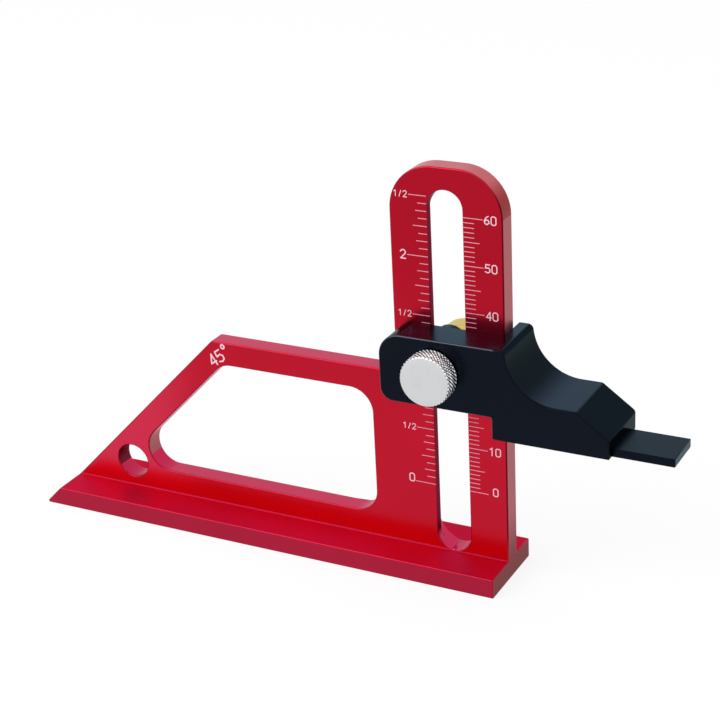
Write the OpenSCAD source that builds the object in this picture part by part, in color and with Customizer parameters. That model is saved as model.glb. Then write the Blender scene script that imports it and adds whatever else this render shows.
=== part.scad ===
// Height gauge for table saw blades: a T-section body with a slotted, graduated
// column, and a slider with a tongue that reads the height of what stands under it.
// X runs along the body, Y from its front to its back, Z up from the table.
// The origin lies on the table, under the slot's centre line, in the plane of the
// column's front face.

/* [Foot and web] */
// Length of the body along the table, from the sharp tip to the column's end face
body_len = 113.4; // [104:0.1:128]
// How far the foot stands in front of the web
foot_front = 8.3; // [6:0.05:12]
// How far the foot stands behind the web
foot_back = 6.6; // [5:0.05:12]
// Thickness of the foot
foot_t = 4.4; // [3.4:0.1:6]
// Thickness of the web and of the column
web_t = 4.5; // [3.8:0.1:6]
// Height of the web's top edge over the table
web_h = 44.1; // [38:0.1:52]
// Fillet where the web meets the foot
fillet_r = 0.4; // [0.3:0.1:1.4]
// Round on the tip where the slope meets the table
tip_r = 0.4; // [0.2:0.1:1]

/* [Window and hanging hole] */
// Width of the sloping bar beside the window
bar_slope = 5.3; // [4:0.1:8]
// Width of the bar over the window
bar_top = 5.3; // [4:0.1:8]
// Height of the bar between the window and the foot
bar_low = 5.4; // [4:0.1:8]
// Width of the bar between the window and the column
bar_column = 6.0; // [4:0.1:9]
// Radius of the window's corners
window_r = 5.3; // [3:0.1:7]
// Radius of the hanging hole
hang_r = 4.0; // [3:0.05:4.5]
// Distance of the hanging hole's axis from the sharp tip
hang_x = 19.9; // [18:0.1:21]
// Height of the hanging hole's axis
hang_z = 10.5; // [9.6:0.1:11]

/* [Column and slot] */
// Width of the column
col_w = 24.45; // [22:0.05:30]
// Height of the column's top
col_h = 89.2; // [84:0.1:110]
// Radius of the column's two top corners
col_r = 9.5; // [4:0.1:11]
// Distance of the slot's centre line from the column's end face
slot_to_end = 12.35; // [11:0.05:14]
// Width of the slot through the column
slot_w = 7.6; // [6:0.1:9]
// Thickness of the front lip that the clamp grips
lip_t = 1.85; // [1.4:0.05:2.4]
// Material over the slot's upper end
slot_cap = 4.6; // [3:0.1:12]
// Height of the slot's lower end over the foot
slot_floor = 0.15; // [0.1:0.05:3]
// How far the nut's recess in the column's back ends inside the slot's ends
recess_inset = 0.4; // [0.2:0.1:1]

/* [Slider] */
// Height that the gauge reads, from the table to the slider's underside
reading = 36.3; // [0:0.1:60]
// Depth of the slider from front to back
slider_d = 15.2; // [13:0.1:20]
// How far the slider's front stands before the column
arm_t = 7.5; // [6:0.1:10]
// Height of the slider, which is also the height of the scales' zero marks
slider_h = 19.5; // [18:0.05:21]
// How far the arm's underside lies over the slider's underside
arm_step = 4.8; // [4.7:0.1:5.6]
// Radius of the arm's upper corner
arm_r_top = 4.8; // [2:0.1:6]
// Radius of the arm's lower corner
arm_r_low = 2.8; // [1:0.1:5]
// How far the block reaches past the column's end face
block_w = 24.7; // [22:0.1:30]
// Radius of the thumb rest
scoop_r = 10.35; // [8:0.05:11]
// Distance of the thumb rest's centre from the column's end face
scoop_x = 13.4; // [12:0.1:14]
// Height of the thumb rest's lowest line over the slider's underside
crest_h = 9.1; // [8.4:0.1:10]
// Distance of the crest, where the nose starts to fall, from the column's end face
crest_x = 17.8; // [16:0.1:19]
// Height of the nose's end face
nose_h = 4.1; // [3:0.1:6]
// Radius on the horn's tip
horn_r = 1.2; // [0.6:0.1:1.6]
// Radius on the nose
nose_r = 1.0; // [0.4:0.1:1.6]
// How deep the guide key stands into the slot
key_d = 1.5; // [1:0.05:1.7]
// Play of the guide key on each side of the slot
key_play = 0.1; // [0.05:0.05:0.3]
// Gap between the slider and the column's faces
slide_gap = 0.05; // [0.04:0.01:0.2]

/* [Tongue] */
// How far the tongue stands out of the slider
tongue_out = 12.6; // [8:0.1:20]
// Length of the tongue inside its groove
tongue_in = 15; // [12:0.5:18]
// Width of the tongue
tongue_w = 9.5; // [7:0.1:11]
// Thickness of the tongue
tongue_t = 1.8; // [1.7:0.1:2.6]
// Distance of the tongue's front edge from the slider's front face
tongue_inset = 1.85; // [1.2:0.05:3]
// Play of the tongue on each side of its groove
tongue_play = 0.03; // [0.02:0.01:0.1]
// Radius of a tongue screw's shank
screw_r = 1.0; // [0.8:0.1:1.2]
// Radius of a tongue screw's head
screw_head_r = 1.9; // [1.6:0.1:2.2]
// Length of a tongue screw
screw_len = 5.5; // [4:0.1:7]
// Distance between the two tongue screws
screw_pitch = 7.5; // [5:0.1:9]
// Depth that the screw holes run on past the screws' ends
screw_spare = 0.5; // [0.2:0.1:1.5]
// Width of the screwdriver slot
driver_w = 0.5; // [0.3:0.05:0.7]
// Depth of the screwdriver slot
driver_d = 0.35; // [0.2:0.05:0.6]

/* [Clamp] */
// Distance of the clamp's axis below the slider's top
clamp_drop = 7.15; // [6.5:0.05:7.6]
// Radius of the knob's head
knob_r = 5.5; // [4.5:0.1:6.5]
// Length of the knob's head
knob_len = 4.0; // [3:0.1:6]
// Chamfer on the knob's front rim
knob_chamfer = 0.35; // [0.2:0.05:0.6]
// Crest radius of the stud's thread
stud_r = 2.0; // [1.5:0.05:2.4]
// Pitch of the stud's thread
stud_pitch = 0.7; // [0.5:0.05:0.8]
// Depth of the stud's thread
thread_d = 0.42; // [0.3:0.01:0.5]
// Play of the stud in the slider's hole and in the washer
stud_play = 0.2; // [0.1:0.05:0.4]
// How far the stud's end stays under the nut's back
stud_short = 0.4; // [0.2:0.1:1]
// Gap left between the clamp's pieces and what they press on
seat_gap = 0.02; // [0.01:0.01:0.1]
// Depth of the stud in the knob's head
stud_in = 2.6; // [2:0.1:2.8]
// Outer radius of the washer under the knob
washer_r = 4.7; // [4:0.1:5]
// Thickness of the washer
washer_t = 0.4; // [0.3:0.05:0.8]
// Radius of the nut
nut_r = 5.6; // [5.4:0.1:6.1]
// How far the nut stands behind the column
nut_out = 5.0; // [3:0.1:6.5]
// Width across the nut's two guide flats
nut_flats = 10.2; // [9.6:0.1:10.6]
// Chamfer on the nut's back rim
nut_chamfer = 0.6; // [0.2:0.05:0.8]
// Running clearance between a thread's crest and what it turns in
thread_play = 0.05; // [0.03:0.01:0.1]
// Gap between the nut and the walls of its recess
nut_play = 0.1; // [0.05:0.01:0.2]

/* [Scales] */
// Last graduation of the millimetre scale
mm_last = 60; // [50:10:60]
// Last graduation of the inch scale, in sixteenths
inch_last = 40; // [32:8:40]
// Width of a graduation line
tick_w = 0.15; // [0.1:0.01:0.35]
// Thickness of the print on the column's face
ink_t = 0.03; // [0.02:0.005:0.035]
// Gap between the slot's edge and the millimetre graduations
mm_gap = 0.05; // [0.05:0.05:0.6]
// Gap between the slot's edge and the inch graduations
inch_gap = 0.1; // [0.05:0.05:0.6]
// Length of a graduation at each whole ten millimetres
mm_ten = 4.3; // [3.8:0.05:4.6]
// Length of a graduation at each five millimetres
mm_five = 3.55; // [3:0.05:4]
// Length of a graduation at each millimetre
mm_one = 2.45; // [1.5:0.05:3]
// Length of a graduation at each whole inch
inch_whole = 4.6; // [4:0.05:4.8]
// Length of a graduation at each half inch
inch_half = 3.85; // [3.4:0.05:4.2]
// Length of a graduation at each quarter inch
inch_quarter = 3.05; // [2.6:0.05:3.6]
// Length of a graduation at each eighth of an inch
inch_eighth = 2.45; // [1.9:0.05:2.8]
// Length of a graduation at each sixteenth of an inch
inch_sixteenth = 1.9; // [1.2:0.05:2.2]
// Gap between a graduation and its numeral
text_gap = 0.35; // [0.2:0.05:0.5]
// Width of a numeral's strokes as a share of the numeral's height
text_weight = 0.13; // [0.1:0.01:0.18]
// Height of the millimetre numerals
mm_text = 1.7; // [1:0.1:1.9]
// Height of the whole inch numerals
inch_text = 1.8; // [1:0.1:1.9]
// Height of the half inch numerals
half_text = 1.25; // [0.8:0.05:1.4]
// How far the two zeros stand over their graduations
zero_lift = 0.7; // [0:0.05:1]
// Height of the angle mark's numerals
angle_text = 2.65; // [1.5:0.05:2.8]
// Distance of the angle mark's start from the web's upper corner along the web
angle_x = 0.15; // [0:0.05:1.5]
// Distance of the angle mark's start below the web's upper edge
angle_drop = 6.05; // [5.8:0.05:6.4]
// Slope of the angle mark's line
angle_turn = 34.5; // [30:0.5:40]

/* [Hidden] */
$fn = 64;
// How far a cut runs past the face that it opens
eps = 1;
// How far added stock reaches into what carries it
join = 0.2;

end_x = slot_to_end;
tip_x = end_x - body_len;
col_left = end_x - col_w;
slot_low = foot_t + slot_floor;
slot_top = col_h - slot_cap;
recess_w = nut_flats + 2 * nut_play;

arm_front = -arm_t;
block_back = slider_d - arm_t;
block_left = end_x + slide_gap;
block_right = end_x + block_w;
slider_top = reading + slider_h;
clamp_z = slider_top - clamp_drop;
key_w = slot_w - 2 * key_play;
scoop_z = crest_h + scoop_r;

tongue_front = arm_front + tongue_inset;
tongue_back = tongue_front + tongue_w;
tongue_left = block_right - tongue_in;
tongue_right = block_right + tongue_out;
screw_y = (tongue_front + tongue_back) / 2;
screw_first = tongue_left + (tongue_in - screw_pitch) / 2;
screw_head_h = screw_head_r - screw_r;

knob_back = arm_front - washer_t - seat_gap;
knob_front = knob_back - knob_len;
stud_bore_r = stud_r + stud_play;
nut_front = lip_t + seat_gap;
nut_back = web_t + nut_out;
stud_end = nut_back - stud_short;

inch = 25.4;
zero_z = slider_h;

// Unit vector from a to b
function toward(a, b) = (b - a) / norm(b - a);

// Half of the angle at corner p between the ways to a and to b
function half_angle(a, p, b) = acos(toward(p, a) * toward(p, b)) / 2;

// Point where a round of radius r at corner p touches the side towards a
function touch(a, p, b, r) = p + toward(p, a) * r / tan(half_angle(a, p, b));

// Centre of the round of radius r at corner p
function round_centre(a, p, b, r) =
    p + toward([0, 0], toward(p, a) + toward(p, b)) * r / sin(half_angle(a, p, b));

// Convex outline with a round of radius rs[i] at each corner ps[i]
module rounded_outline(ps, rs) {
    n = len(ps);
    function before(i) = ps[(i + n - 1) % n];
    function after(i) = ps[(i + 1) % n];
    polygon([for (i = [0 : n - 1], side = [0, 1])
        side == 0 ? touch(before(i), ps[i], after(i), rs[i])
                  : touch(after(i), ps[i], before(i), rs[i])]);
    for (i = [0 : n - 1])
        if (rs[i] > 0.01)
            translate(round_centre(before(i), ps[i], after(i), rs[i])) circle(rs[i]);
}

// What a round of radius r takes off the convex corner p
module corner_waste(a, p, b, r) {
    c = round_centre(a, p, b, r);
    difference() {
        polygon([touch(a, p, b, r), p + (p - c) * 0.5, touch(b, p, a, r)]);
        circle_at(c, r);
    }
}

module circle_at(c, r) {
    translate(c) circle(r);
}

// Slot outline of width w between the heights z0 and z1, centred on x = 0
module obround(w, z0, z1) {
    translate([-w / 2, z0 + w / 2]) square([w, z1 - z0 - w]);
    circle_at([0, z0 + w / 2], w / 2);
    circle_at([0, z1 - w / 2], w / 2);
}

// Plate whose outline lies in X and Z, from y0 back to y1
module plate(y0, y1) {
    translate([0, y1, 0]) rotate([90, 0, 0]) linear_extrude(y1 - y0) children();
}

// Prism whose outline lies in Y and Z, from x0 to x1
module prism(x0, x1) {
    translate([x0, 0, 0]) rotate([90, 0, 90]) linear_extrude(x1 - x0) children();
}

// Turned piece about the clamp's axis; its outline gives radius and depth along Y
module turned() {
    translate([0, 0, clamp_z]) rotate([-90, 0, 0]) rotate_extrude() children();
}

// Body

module web_outline() {
    translate([tip_x, foot_t / 2]) square([col_left - tip_x + eps, web_h - foot_t / 2]);
    rounded_outline([[col_left, foot_t / 2], [end_x, foot_t / 2], [end_x, col_h], [col_left, col_h]],
                    [0, 0, col_r, col_r]);
}

module window_outline() {
    slope_x = tip_x + bar_slope * sqrt(2);
    low = foot_t + bar_low;
    high = web_h - bar_top;
    right = col_left - bar_column;
    rounded_outline([[slope_x + low, low], [right, low], [right, high], [slope_x + high, high]],
                    [window_r, window_r, window_r, window_r]);
}

// Fillet along one side of the web; side is -1 in front and 1 behind
module web_fillet(side) {
    face = side < 0 ? 0 : web_t;
    prism(tip_x, end_x)
        difference() {
            translate([side < 0 ? -fillet_r : web_t - join, foot_t - join])
                square([fillet_r + join, fillet_r + join]);
            circle_at([face + side * fillet_r, foot_t + fillet_r], fillet_r);
            translate([side < 0 ? -fillet_r - eps : web_t, foot_t + fillet_r])
                square([fillet_r + eps, eps]);
        }
}

module gauge_body() {
    color([0.70, 0.06, 0.13])
    difference() {
        union() {
            translate([tip_x, -foot_front, 0])
                cube([body_len, foot_front + web_t + foot_back, foot_t]);
            plate(0, web_t) web_outline();
            web_fillet(-1);
            web_fillet(1);
        }
        plate(-foot_front - eps, web_t + foot_back + eps)
            polygon([[tip_x - eps, -eps], [tip_x + web_h + eps, web_h + eps],
                     [tip_x - eps, web_h + eps]]);
        plate(-foot_front - eps, web_t + foot_back + eps)
            corner_waste([tip_x + web_h, web_h], [tip_x, 0], [end_x, 0], tip_r);
        plate(-eps, web_t + eps) window_outline();
        plate(-fillet_r - eps, web_t + fillet_r + eps) obround(slot_w, slot_low, slot_top);
        plate(lip_t, web_t + fillet_r + eps)
            obround(recess_w, slot_low + recess_inset, slot_top - recess_inset);
        translate([tip_x + hang_x, web_t + eps, hang_z]) rotate([90, 0, 0])
            cylinder(r = hang_r, h = web_t + 2 * eps);
    }
}

// Slider

module block_outline() {
    crest = [end_x + crest_x, crest_h];
    nose = [block_right, nose_h];
    scoop = [end_x + scoop_x, scoop_z];
    horn_z = slider_h - horn_r;
    horn = [scoop[0] - sqrt(pow(scoop_r + horn_r, 2) - pow(scoop_z - horn_z, 2)), horn_z];
    horn_side = horn + toward(horn, scoop) * horn_r;
    fall = (crest - nose) / (nose[0] - crest[0]);
    difference() {
        translate([block_left, 0]) square([block_right - block_left, slider_h]);
        circle_at(scoop, scoop_r);
        translate([scoop[0], crest_h]) square([block_w, slider_h]);
        polygon([crest, nose - fall, nose + [eps, slider_h], crest + [0, eps]]);
        corner_waste([block_right, 0], nose, crest, nose_r);
        difference() {
            polygon([[horn[0], slider_h], [horn[0], slider_h + eps], [scoop[0], slider_h + eps],
                     [scoop[0], horn_side[1]], horn_side]);
            circle_at(horn, horn_r);
        }
    }
}

module slider_block() {
    color([0.07, 0.09, 0.12])
    difference() {
        translate([0, 0, reading]) {
            plate(arm_front, -slide_gap)
                rounded_outline([[col_left, arm_step], [block_left + eps, arm_step],
                                 [block_left + eps, slider_h], [col_left, slider_h]],
                                [arm_r_low, 0, 0, arm_r_top]);
            plate(arm_front, block_back) block_outline();
            plate(-slide_gap - eps, key_d) obround(key_w, arm_step, slider_h);
        }
        translate([0, key_d + eps, clamp_z]) rotate([90, 0, 0])
            cylinder(r = stud_bore_r, h = arm_t + key_d + 2 * eps);
        translate([tongue_left - tongue_play, tongue_front - tongue_play, reading - eps])
            cube([tongue_in + eps, tongue_w + 2 * tongue_play, tongue_t + tongue_play + eps]);
        for_screws() cylinder(r = screw_r, h = screw_len + screw_spare);
    }
}

// Tongue

module for_screws() {
    for (i = [0, 1])
        translate([screw_first + i * screw_pitch, screw_y, reading]) children();
}

// Countersunk head and shank of radius r, from the underside up
module screw_shape(r, h) {
    cylinder(r1 = screw_head_r, r2 = r, h = screw_head_h);
    cylinder(r = r, h = h);
}

module reading_tongue() {
    color([0.13, 0.15, 0.18])
    difference() {
        translate([tongue_left, tongue_front, reading])
            cube([tongue_right - tongue_left, tongue_w, tongue_t]);
        for_screws() {
            screw_shape(screw_r, tongue_t + eps);
            translate([0, 0, -eps]) cylinder(r = screw_head_r, h = eps);
        }
    }
}

module tongue_screws() {
    color([0.62, 0.63, 0.65])
    for_screws()
        difference() {
            screw_shape(screw_r, screw_len);
            translate([-screw_head_r, -driver_w / 2, -eps])
                cube([2 * screw_head_r, driver_w, eps + driver_d]);
        }
}

// Clamp

module knob_head() {
    inner = knob_back - stud_in;
    color([0.78, 0.79, 0.80])
    turned()
        polygon([[0, knob_front], [knob_r - knob_chamfer, knob_front],
                 [knob_r, knob_front + knob_chamfer], [knob_r, knob_back - knob_chamfer],
                 [knob_r - knob_chamfer, knob_back], [stud_r, knob_back],
                 [stud_r, inner], [0, inner]]);
}

module knob_stud() {
    inner = knob_back - stud_in;
    root = stud_r - thread_d;
    turns = floor((stud_end - key_d - stud_pitch) / stud_pitch);
    first = stud_end - turns * stud_pitch;
    color([0.70, 0.71, 0.72])
    turned()
        polygon(concat(
            [[0, inner], [stud_r, inner], [stud_r, first]],
            [for (i = [0 : turns - 1], p = [[root, 0.5], [stud_r, 1]])
                [p[0], first + (i + p[1]) * stud_pitch]],
            [[0, stud_end]]));
}

module knob_washer() {
    color([0.10, 0.10, 0.11])
    turned()
        translate([stud_bore_r, arm_front - washer_t])
            square([washer_r - stud_bore_r, washer_t]);
}

module clamp_nut() {
    bore = stud_r + thread_play;
    shoulder = web_t + nut_play;
    color([0.80, 0.66, 0.36])
    union() {
        intersection() {
            turned() translate([bore, nut_front]) square([nut_r - bore, shoulder - nut_front + join]);
            translate([-nut_flats / 2, nut_front - eps, clamp_z - nut_r - eps])
                cube([nut_flats, shoulder - nut_front + join + eps, 2 * nut_r + 2 * eps]);
        }
        turned()
            polygon([[bore, shoulder], [nut_r, shoulder], [nut_r, nut_back - nut_chamfer],
                     [nut_r - nut_chamfer, nut_back], [bore, nut_back]]);
    }
}

// Scales

// Layer of print on the column's front face
module print_layer() {
    color([0.93, 0.92, 0.92]) plate(-ink_t, 0) children();
}

// Straight stroke of width w from a to b, with round ends
module stroke(a, b, w) {
    d = b - a;
    translate(a) rotate(atan2(d[1], d[0])) translate([0, -w / 2]) square([norm(d), w]);
    circle_at(a, w / 2);
    circle_at(b, w / 2);
}

// Strokes of each sign in a box 0.6 wide and 1 high: the digits 0 to 6, then a slash
// and a degree ring
GLYPHS = [
    [[0.15, 0], [0, 0.15], [0, 0.85], [0.15, 1], [0.45, 1], [0.6, 0.85], [0.6, 0.15],
     [0.45, 0], [0.15, 0]],
    [[0.1, 0.8], [0.35, 1], [0.35, 0]],
    [[0, 0.8], [0.15, 1], [0.45, 1], [0.6, 0.8], [0.55, 0.58], [0, 0], [0.6, 0]],
    [[0, 0.85], [0.15, 1], [0.45, 1], [0.6, 0.8], [0.3, 0.53], [0.6, 0.25], [0.45, 0],
     [0.15, 0], [0, 0.15]],
    [[0.48, 0], [0.48, 1], [0, 0.3], [0.6, 0.3]],
    [[0.55, 1], [0.08, 1], [0.03, 0.55], [0.4, 0.62], [0.6, 0.4], [0.55, 0.12], [0.3, 0],
     [0, 0.1]],
    [[0.5, 1], [0.2, 0.8], [0, 0.4], [0.1, 0.08], [0.35, 0], [0.6, 0.2], [0.5, 0.5],
     [0.25, 0.55], [0.02, 0.35]],
    [[0.12, 0], [0.48, 1]],
    [[0.15, 0.87], [0.05, 1.03], [0.15, 1.2], [0.3, 1.2], [0.4, 1.03], [0.3, 0.87], [0.15, 0.87]]
];
SLASH = 7;
DEGREE = 8;
advance = 0.85;

// Signs of height h in a row that starts at p; signs are indices into GLYPHS
module signs(list, p, h) {
    for (k = [0 : len(list) - 1])
        translate(p + [k * advance * h, 0])
            for (i = [0 : len(GLYPHS[list[k]]) - 2])
                stroke(GLYPHS[list[k]][i] * h, GLYPHS[list[k]][i + 1] * h, text_weight * h);
}

// Width of n signs of height h
function signs_width(n, h) = (n - 1) * advance * h + 0.6 * h;

// Length of a millimetre graduation
function mm_tick(i) = i % 10 == 0 ? mm_ten : i % 5 == 0 ? mm_five : mm_one;

// Length of an inch graduation, i in sixteenths
function inch_tick(i) = i % 16 == 0 ? inch_whole : i % 8 == 0 ? inch_half
    : i % 4 == 0 ? inch_quarter : i % 2 == 0 ? inch_eighth : inch_sixteenth;

// Height of a reading over the table on the scales
function scale_z(v) = zero_z + v;

// Height of the foot of a numeral of height h beside the reading v
function numeral_z(v, h) = scale_z(v) - h / 2 + (v == 0 ? zero_lift : 0);

mm_x = slot_w / 2 + mm_gap;
inch_x = -slot_w / 2 - inch_gap;

module mm_graduations() {
    print_layer()
        for (i = [0 : mm_last])
            translate([mm_x, scale_z(i) - tick_w / 2]) square([mm_tick(i), tick_w]);
}

module inch_graduations() {
    print_layer()
        for (i = [0 : inch_last])
            translate([inch_x - inch_tick(i), scale_z(i * inch / 16) - tick_w / 2])
                square([inch_tick(i), tick_w]);
}

module mm_numerals() {
    middle = mm_x + mm_ten + text_gap + signs_width(2, mm_text) / 2;
    print_layer()
        for (tens = [0 : mm_last / 10]) {
            list = tens == 0 ? [0] : [tens, 0];
            signs(list, [middle - signs_width(len(list), mm_text) / 2, numeral_z(10 * tens, mm_text)],
                  mm_text);
        }
}

module inch_numerals() {
    half_x = inch_x - inch_half - text_gap - signs_width(3, half_text);
    whole_x = inch_x - inch_whole - text_gap - signs_width(1, inch_text);
    print_layer()
        for (i = [0 : 8 : inch_last])
            if (i % 16 == 0)
                signs([i / 16], [whole_x, numeral_z(i * inch / 16, inch_text)], inch_text);
            else
                signs([1, SLASH, 2], [half_x, numeral_z(i * inch / 16, half_text)], half_text);
}

module angle_mark() {
    print_layer()
        translate([tip_x + web_h + angle_x, web_h - angle_drop]) rotate(angle_turn)
            signs([4, 5, DEGREE], [0, 0], angle_text);
}

gauge_body();
slider_block();
reading_tongue();
tongue_screws();
knob_head();
knob_stud();
knob_washer();
clamp_nut();
mm_graduations();
inch_graduations();
mm_numerals();
inch_numerals();
angle_mark();
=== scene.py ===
"""Looks of a table saw height gauge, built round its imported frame.

A red anodised body stands on a pale floor. A black anodised slider is clamped to its
column by a knurled steel screw and a round brass nut. X runs along the body, Y from
the scales' side to the back and Z up. Colours are linear. Lengths are in metres, but a
name that ends in _mm or _um holds millimetres or micrometres.
"""

import logging
import math
from dataclasses import dataclass, field
from enum import Enum
from typing import Any, Callable, Mapping, Sequence, Union

import bmesh
import bpy
import numpy as np
from mathutils import Matrix, Vector


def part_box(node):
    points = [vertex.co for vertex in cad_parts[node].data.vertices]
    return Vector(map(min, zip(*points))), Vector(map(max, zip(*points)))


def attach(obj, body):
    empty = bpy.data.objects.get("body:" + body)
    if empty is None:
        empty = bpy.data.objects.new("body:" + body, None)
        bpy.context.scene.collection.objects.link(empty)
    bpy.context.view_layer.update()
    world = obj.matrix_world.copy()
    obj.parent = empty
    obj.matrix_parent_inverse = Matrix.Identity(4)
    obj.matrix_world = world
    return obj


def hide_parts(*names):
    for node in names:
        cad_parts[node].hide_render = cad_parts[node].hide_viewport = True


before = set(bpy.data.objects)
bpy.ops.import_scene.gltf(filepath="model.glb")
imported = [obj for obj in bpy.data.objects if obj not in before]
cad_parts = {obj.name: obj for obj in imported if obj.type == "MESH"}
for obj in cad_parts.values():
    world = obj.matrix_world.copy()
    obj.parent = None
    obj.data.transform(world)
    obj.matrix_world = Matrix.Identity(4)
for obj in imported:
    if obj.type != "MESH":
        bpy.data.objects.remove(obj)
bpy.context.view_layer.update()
LOG = logging.getLogger("gauge")
MM = 0.001
MICRON = 1e-6

NEW_SEAM = 1e-7
CAD_SEAM = 2e-6
FLAT_DEG = 0.6
SMOOTH_DEG = 35.0
SHARP_DEG = 28.0

Span = tuple[float, float]
Triple = tuple[float, float, float]
WHITE: Triple = (1.0, 1.0, 1.0)
BLACK: Triple = (0.0, 0.0, 0.0)


# Shader graphs


class Value:
    """A number, colour or vector on its way between two shader nodes.

    Sums, differences and products of numbers become Math nodes, whichever side they
    stand on; colours and vectors go through the graph's own methods.
    """

    def __init__(self, graph: "Graph", socket: bpy.types.NodeSocket) -> None:
        """Wraps a node's output socket that belongs to graph."""
        self.graph = graph
        self.socket = socket

    def _math(self, operation: str, *terms: "Term") -> "Value":
        """Adds one Math node that works on the terms in order."""
        return self.graph.add("ShaderNodeMath", {"operation": operation},
                              {i: t for i, t in enumerate(terms)})

    def __add__(self, other: "Term") -> "Value":
        """self + other."""
        return self._math("ADD", self, other)

    def __sub__(self, other: "Term") -> "Value":
        """self - other."""
        return self._math("SUBTRACT", self, other)

    def __mul__(self, other: "Term") -> "Value":
        """self * other."""
        return self._math("MULTIPLY", self, other)

    def __radd__(self, other: float) -> "Value":
        """other + self."""
        return self._math("ADD", other, self)

    def __rsub__(self, other: float) -> "Value":
        """other - self."""
        return self._math("SUBTRACT", other, self)

    def __rmul__(self, other: float) -> "Value":
        """other * self."""
        return self._math("MULTIPLY", other, self)

    def larger(self, other: "Term") -> "Value":
        """The larger of self and other."""
        return self._math("MAXIMUM", self, other)

    def sine(self) -> "Value":
        """Sine of self, in radians."""
        return self._math("SINE", self)

    def between(self, low: float, high: float) -> "Value":
        """Smooth step: 0 where self is under low, 1 where it is over high."""
        return self.graph.add("ShaderNodeMapRange", {"interpolation_type": "SMOOTHSTEP"},
                              {"Value": self, "From Min": low, "From Max": high})


Term = Union[Value, float, Sequence[float]]


class Graph:
    """The node graph of one material or of the world."""

    def __init__(self, tree: bpy.types.NodeTree) -> None:
        """Empties the tree, so that every node in it comes from add()."""
        self.tree = tree
        tree.nodes.clear()

    def add(self, kind: str, settings: Mapping[str, Any] | None = None,
            inputs: Mapping[Any, Term] | None = None, output: Any = 0) -> Value:
        """Adds one node.

        Args:
            kind: Blender's name of the node type.
            settings: properties that are set first, such as a Math node's operation.
            inputs: values or links, by the socket's name or number.
            output: name or number of the socket that is returned.

        Returns:
            The chosen output.
        """
        node = self.tree.nodes.new(kind)
        for name, setting in (settings or {}).items():
            setattr(node, name, setting)
        for name, term in (inputs or {}).items():
            if isinstance(term, Value):
                self.tree.links.new(term.socket, node.inputs[name])
            else:
                node.inputs[name].default_value = term
        return Value(self, node.outputs[output])

    def place(self) -> Value:
        """The point's own place on the piece, in metres."""
        return self.add("ShaderNodeTexCoord", output="Object")

    def part(self, point: Value, letter: str) -> Value:
        """One coordinate, X, Y or Z, of a point."""
        return self.add("ShaderNodeSeparateXYZ", None, {0: point}, letter)

    def stretched(self, point: Value, scale: Sequence[float]) -> Value:
        """The point with each of its coordinates multiplied by its own scale."""
        return self.add("ShaderNodeVectorMath", {"operation": "MULTIPLY"}, {0: point, 1: scale})

    def noise(self, point: Value, spot_mm: float, detail: float = 2.0) -> Value:
        """Noise from about 0 to 1 whose spots are spot_mm across."""
        return self.add("ShaderNodeTexNoise", None,
                        {"Vector": point, "Scale": 1 / (spot_mm * MM), "Detail": detail})

    def blend(self, share: Term, low: Term, high: Term) -> Value:
        """Colour between low and high, by share from 0 to 1."""
        return self.add("ShaderNodeMix", {"data_type": "RGBA"}, {0: share, 6: low, 7: high}, 2)

    def bump(self, height: Value, depth_um: float) -> Value:
        """Normal of a relief whose height of 1 stands depth_um over the surface."""
        return self.add("ShaderNodeBump", None, {"Height": height, "Distance": depth_um * MICRON})

    def finish(self, shader: Value, kind: str = "ShaderNodeOutputMaterial") -> None:
        """Ends the graph in its output node."""
        node = self.tree.nodes.new(kind)
        self.tree.links.new(shader.socket, node.inputs["Surface"])


def rgba(colour: Triple) -> tuple[float, float, float, float]:
    """The colour with full alpha."""
    return (colour[0], colour[1], colour[2], 1.0)


# Finishes


class Lay(Enum):
    """Way of a finish's tool marks: their stretch along X, Y and Z."""

    ALONG_X = (180.0, 1.0, 1.0)
    ALONG_Y = (1.0, 90.0, 1.0)


@dataclass(frozen=True)
class Finish:
    """What every finish has: a slot name, a colour, a roughness and a shader."""

    slot: str
    colour: Triple
    roughness: float

    def paint(self, graph: Graph) -> Value:
        """The finish's shader; each kind of finish has its own."""
        raise NotImplementedError

    def material(self, name: str) -> bpy.types.Material:
        """The finish as a Blender material, made once, apart from the frame's own.

        Args:
            name: name of the look; the material's name is finish_ with this name.

        Returns:
            The material.
        """
        made = bpy.data.materials.get("finish_" + name)
        if made is None:
            made = bpy.data.materials.new("finish_" + name)
            made.use_nodes = True
            graph = Graph(made.node_tree)
            graph.finish(self.paint(graph))
            made.diffuse_color = rgba(self.colour)
        return made


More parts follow.
